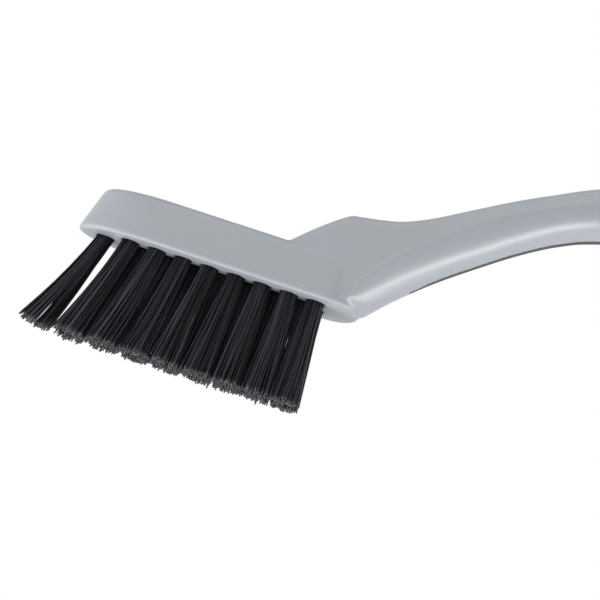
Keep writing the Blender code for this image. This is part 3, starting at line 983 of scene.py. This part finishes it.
class BRUSH_OT_bristles(bpy.types.Operator):
    """Fills every tuft with fine filaments"""

    bl_idname = "brush.bristles"
    bl_label = "Bristles"

    def execute(self, context):
        materials = [nylon_material(), cut_end_material()]
        for seed, name in enumerate(tuft_names()):
            random = np.random.default_rng(seed)
            mesh = filament_mesh(name, filament_lines(name, random), random)
            item = bpy.data.objects.new(name, mesh)
            context.scene.collection.objects.link(item)
            dress(item, name.replace("tuft", "bristles"), "bristle_black", materials, name)
        return {"FINISHED"}


class BRUSH_OT_anchors(bpy.types.Operator):
    """Gives the anchors in the tuft holes their steel"""

    bl_idname = "brush.anchors"
    bl_label = "Anchors"

    def execute(self, context):
        steel = steel_material()
        for name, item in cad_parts.items():
            if name.startswith("anchor_"):
                item.data.materials.clear()
                item.data.materials.append(steel)
        return {"FINISHED"}


class BRUSH_OT_stage(bpy.types.Operator):
    """Sets the floor, the lamps, the sky and the camera"""

    bl_idname = "brush.stage"
    bl_label = "Stage"

    def execute(self, context):
        s = context.scene.brush_stage
        make_floor(s)
        make_sky(s)
        low = s.floor_height + LAMP_LIFT
        make_lamp("top_softbox", place=(0.0, -0.5, 0.7), size=(0.6, 0.6), power=s.top_power)
        make_lamp("left_softbox", place=(-0.5, -0.2, -0.2), size=(0.4, 0.2), power=s.left_power)
        make_lamp("right_softbox", place=(0.6, 0.0, -0.2), size=(0.3, 0.3), power=s.right_power)
        make_lamp("under_softbox", place=(-0.08, -0.04, low), size=(0.25, 0.25), power=s.under_power,
                  turn=FACING_UP)
        make_lamp("strip_softbox", place=(0.46, -0.215, low), size=(0.52, 0.13), power=s.strip_power,
                  turn=ALONG_HANDLE, diffuse=False)
        camera = bpy.data.objects.new("camera", bpy.data.cameras.new("camera"))
        camera.data.lens = s.lens
        camera.location = s.camera_place
        camera.rotation_euler = s.camera_turn
        context.scene.collection.objects.link(camera)
        context.scene.camera = camera
        context.scene.view_settings.view_transform = "Standard"
        return {"FINISHED"}


def make_floor(s):
    """A wide pale floor."""
    bm = bmesh.new()
    bmesh.ops.create_circle(bm, cap_ends=True, segments=FLOOR_SIDES, radius=s.floor_radius)
    bmesh.ops.translate(bm, verts=bm.verts, vec=(0.0, 0.0, s.floor_height))
    floor = object_from(bm, "floor")
    material, tree, shader = new_material("pale_floor")
    shader.inputs["Base Color"].default_value = (*s.floor_color, 1.0)
    shader.inputs["Roughness"].default_value = 0.9
    open_from_below(tree, shader)
    if floor.data.polygons[0].normal.z < 0:
        floor.data.flip_normals()
    floor.data.materials.append(material)


def open_from_below(tree, shader):
    """Lets the camera look through a surface from behind, so that a view from below shows the brush."""
    back = tree.nodes.new("ShaderNodeNewGeometry").outputs["Backfacing"]
    camera = tree.nodes.new("ShaderNodeLightPath").outputs["Is Camera Ray"]
    clear = tree.nodes.new("ShaderNodeBsdfTransparent")
    mix = tree.nodes.new("ShaderNodeMixShader")
    factor, first, second = mix.inputs
    tree.links.new(math_node(tree, "MULTIPLY", back, camera), factor)
    tree.links.new(shader.outputs["BSDF"], first)
    tree.links.new(clear.outputs["BSDF"], second)
    tree.links.new(mix.outputs["Shader"], tree.nodes["Material Output"].inputs["Surface"])


def make_sky(s):
    """An even light from all round, which the camera and reflections see as white."""
    world = bpy.data.worlds.new("sky")
    world.use_nodes = True
    tree = world.node_tree
    sky = tree.nodes["Background"]
    sky.inputs["Color"].default_value = (1.0, 1.0, 1.0, 1.0)
    path = tree.nodes.new("ShaderNodeLightPath")
    seen = math_node(tree, "MAXIMUM", path.outputs["Is Camera Ray"], path.outputs["Is Transmission Ray"])
    seen = math_node(tree, "MAXIMUM", seen, path.outputs["Is Glossy Ray"])
    strength = ramp_node(tree, seen, 0.0, 1.0, start=s.ambient, stop=1.0)
    tree.links.new(strength, sky.inputs["Strength"])
    bpy.context.scene.world = world


def make_lamp(name, place, size, power, turn=None, diffuse=True):
    """A softbox unseen by the camera, turned to the brush or as told.

    Without diffuse it only draws highlights.
    """
    light = bpy.data.lights.new(name, "AREA")
    light.shape = "RECTANGLE"
    light.energy = power
    light.size, light.size_y = size
    lamp = bpy.data.objects.new(name, light)
    lamp.location = place
    lamp.rotation_euler = turn or (LAMP_TARGET - lamp.location).to_track_quat("-Z", "Y").to_euler()
    lamp.visible_camera = False
    lamp.visible_diffuse = diffuse
    bpy.context.scene.collection.objects.link(lamp)


OPERATORS = (BRUSH_OT_moulding, BRUSH_OT_grip, BRUSH_OT_bristles, BRUSH_OT_anchors, BRUSH_OT_stage)
SETTINGS = {
    "brush_moulding": MouldingSettings,
    "brush_strip": StripSettings,
    "brush_bristles": BristleSettings,
    "brush_anchors": AnchorSettings,
    "brush_stage": StageSettings,
}


class BRUSH_PT_panel(bpy.types.Panel):
    """Lists the brush's pieces and their settings"""

    bl_label = "Detailing Brush"
    bl_idname = "BRUSH_PT_panel"
    bl_space_type = "VIEW_3D"
    bl_region_type = "UI"
    bl_category = "Brush"

    def draw(self, context):
        for operator, name in zip(OPERATORS, SETTINGS):
            box = self.layout.box()
            box.operator(operator.bl_idname)
            settings = getattr(context.scene, name)
            for prop in settings.bl_rna.properties:
                if prop.identifier not in ("name", "rna_type"):
                    box.prop(settings, prop.identifier)


def register():
    for settings in SETTINGS.values():
        bpy.utils.register_class(settings)
    for name, settings in SETTINGS.items():
        setattr(bpy.types.Scene, name, PointerProperty(type=settings))
    for item in (*OPERATORS, BRUSH_PT_panel):
        bpy.utils.register_class(item)


def unregister():
    for item in reversed((*OPERATORS, BRUSH_PT_panel)):
        bpy.utils.unregister_class(item)
    for name in SETTINGS:
        delattr(bpy.types.Scene, name)
    for settings in SETTINGS.values():
        bpy.utils.unregister_class(settings)


def main():
    register()
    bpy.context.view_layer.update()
    bpy.ops.brush.moulding()
    bpy.ops.brush.grip()
    bpy.ops.brush.bristles()
    bpy.ops.brush.anchors()
    bpy.ops.brush.stage()


if __name__ == "__main__":
    main()
